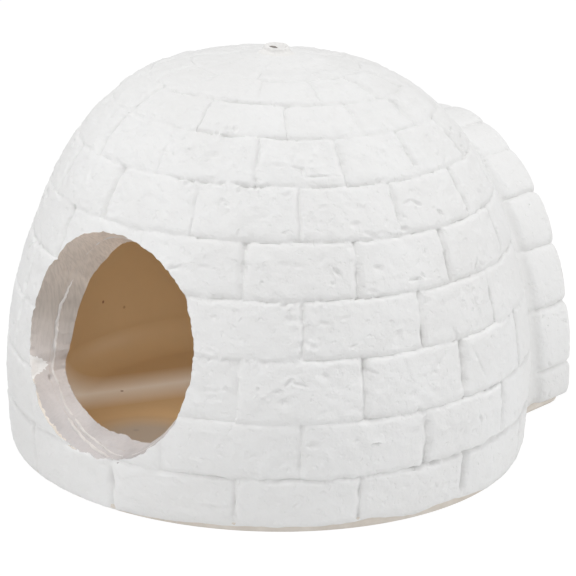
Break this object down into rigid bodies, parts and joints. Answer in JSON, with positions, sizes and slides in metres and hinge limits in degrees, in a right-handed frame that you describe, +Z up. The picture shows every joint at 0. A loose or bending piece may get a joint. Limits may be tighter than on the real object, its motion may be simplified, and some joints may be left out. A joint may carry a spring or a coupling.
{
  "type": "small pet hideout",
  "caption": "Domed shelter for a small pet, with the relief of laid snow blocks, a round door, an arched porch behind and a closed floor.",
  "frame": {"origin": "on the ground, in the middle of the whole outline seen from above", "axes": "+Z up along the dome's axis, the round door faces -Y and the porch faces +Y"},
  "size_m": [0.13, 0.138, 0.0978],
  "materials": {
    "white_facing": "matte chalky white, with fine pits, chips and crumbs",
    "inner_body": "smooth satin tan, with a few dark specks"
  },
  "bodies": {
    "root": {"inner_shell": "inner_body", "dome_facing": "white_facing", "porch_tunnel": "inner_body", "porch_facing": "white_facing", "floor_plate": "inner_body", "crown_nub": "white_facing"}
  },
  "joints": []
}
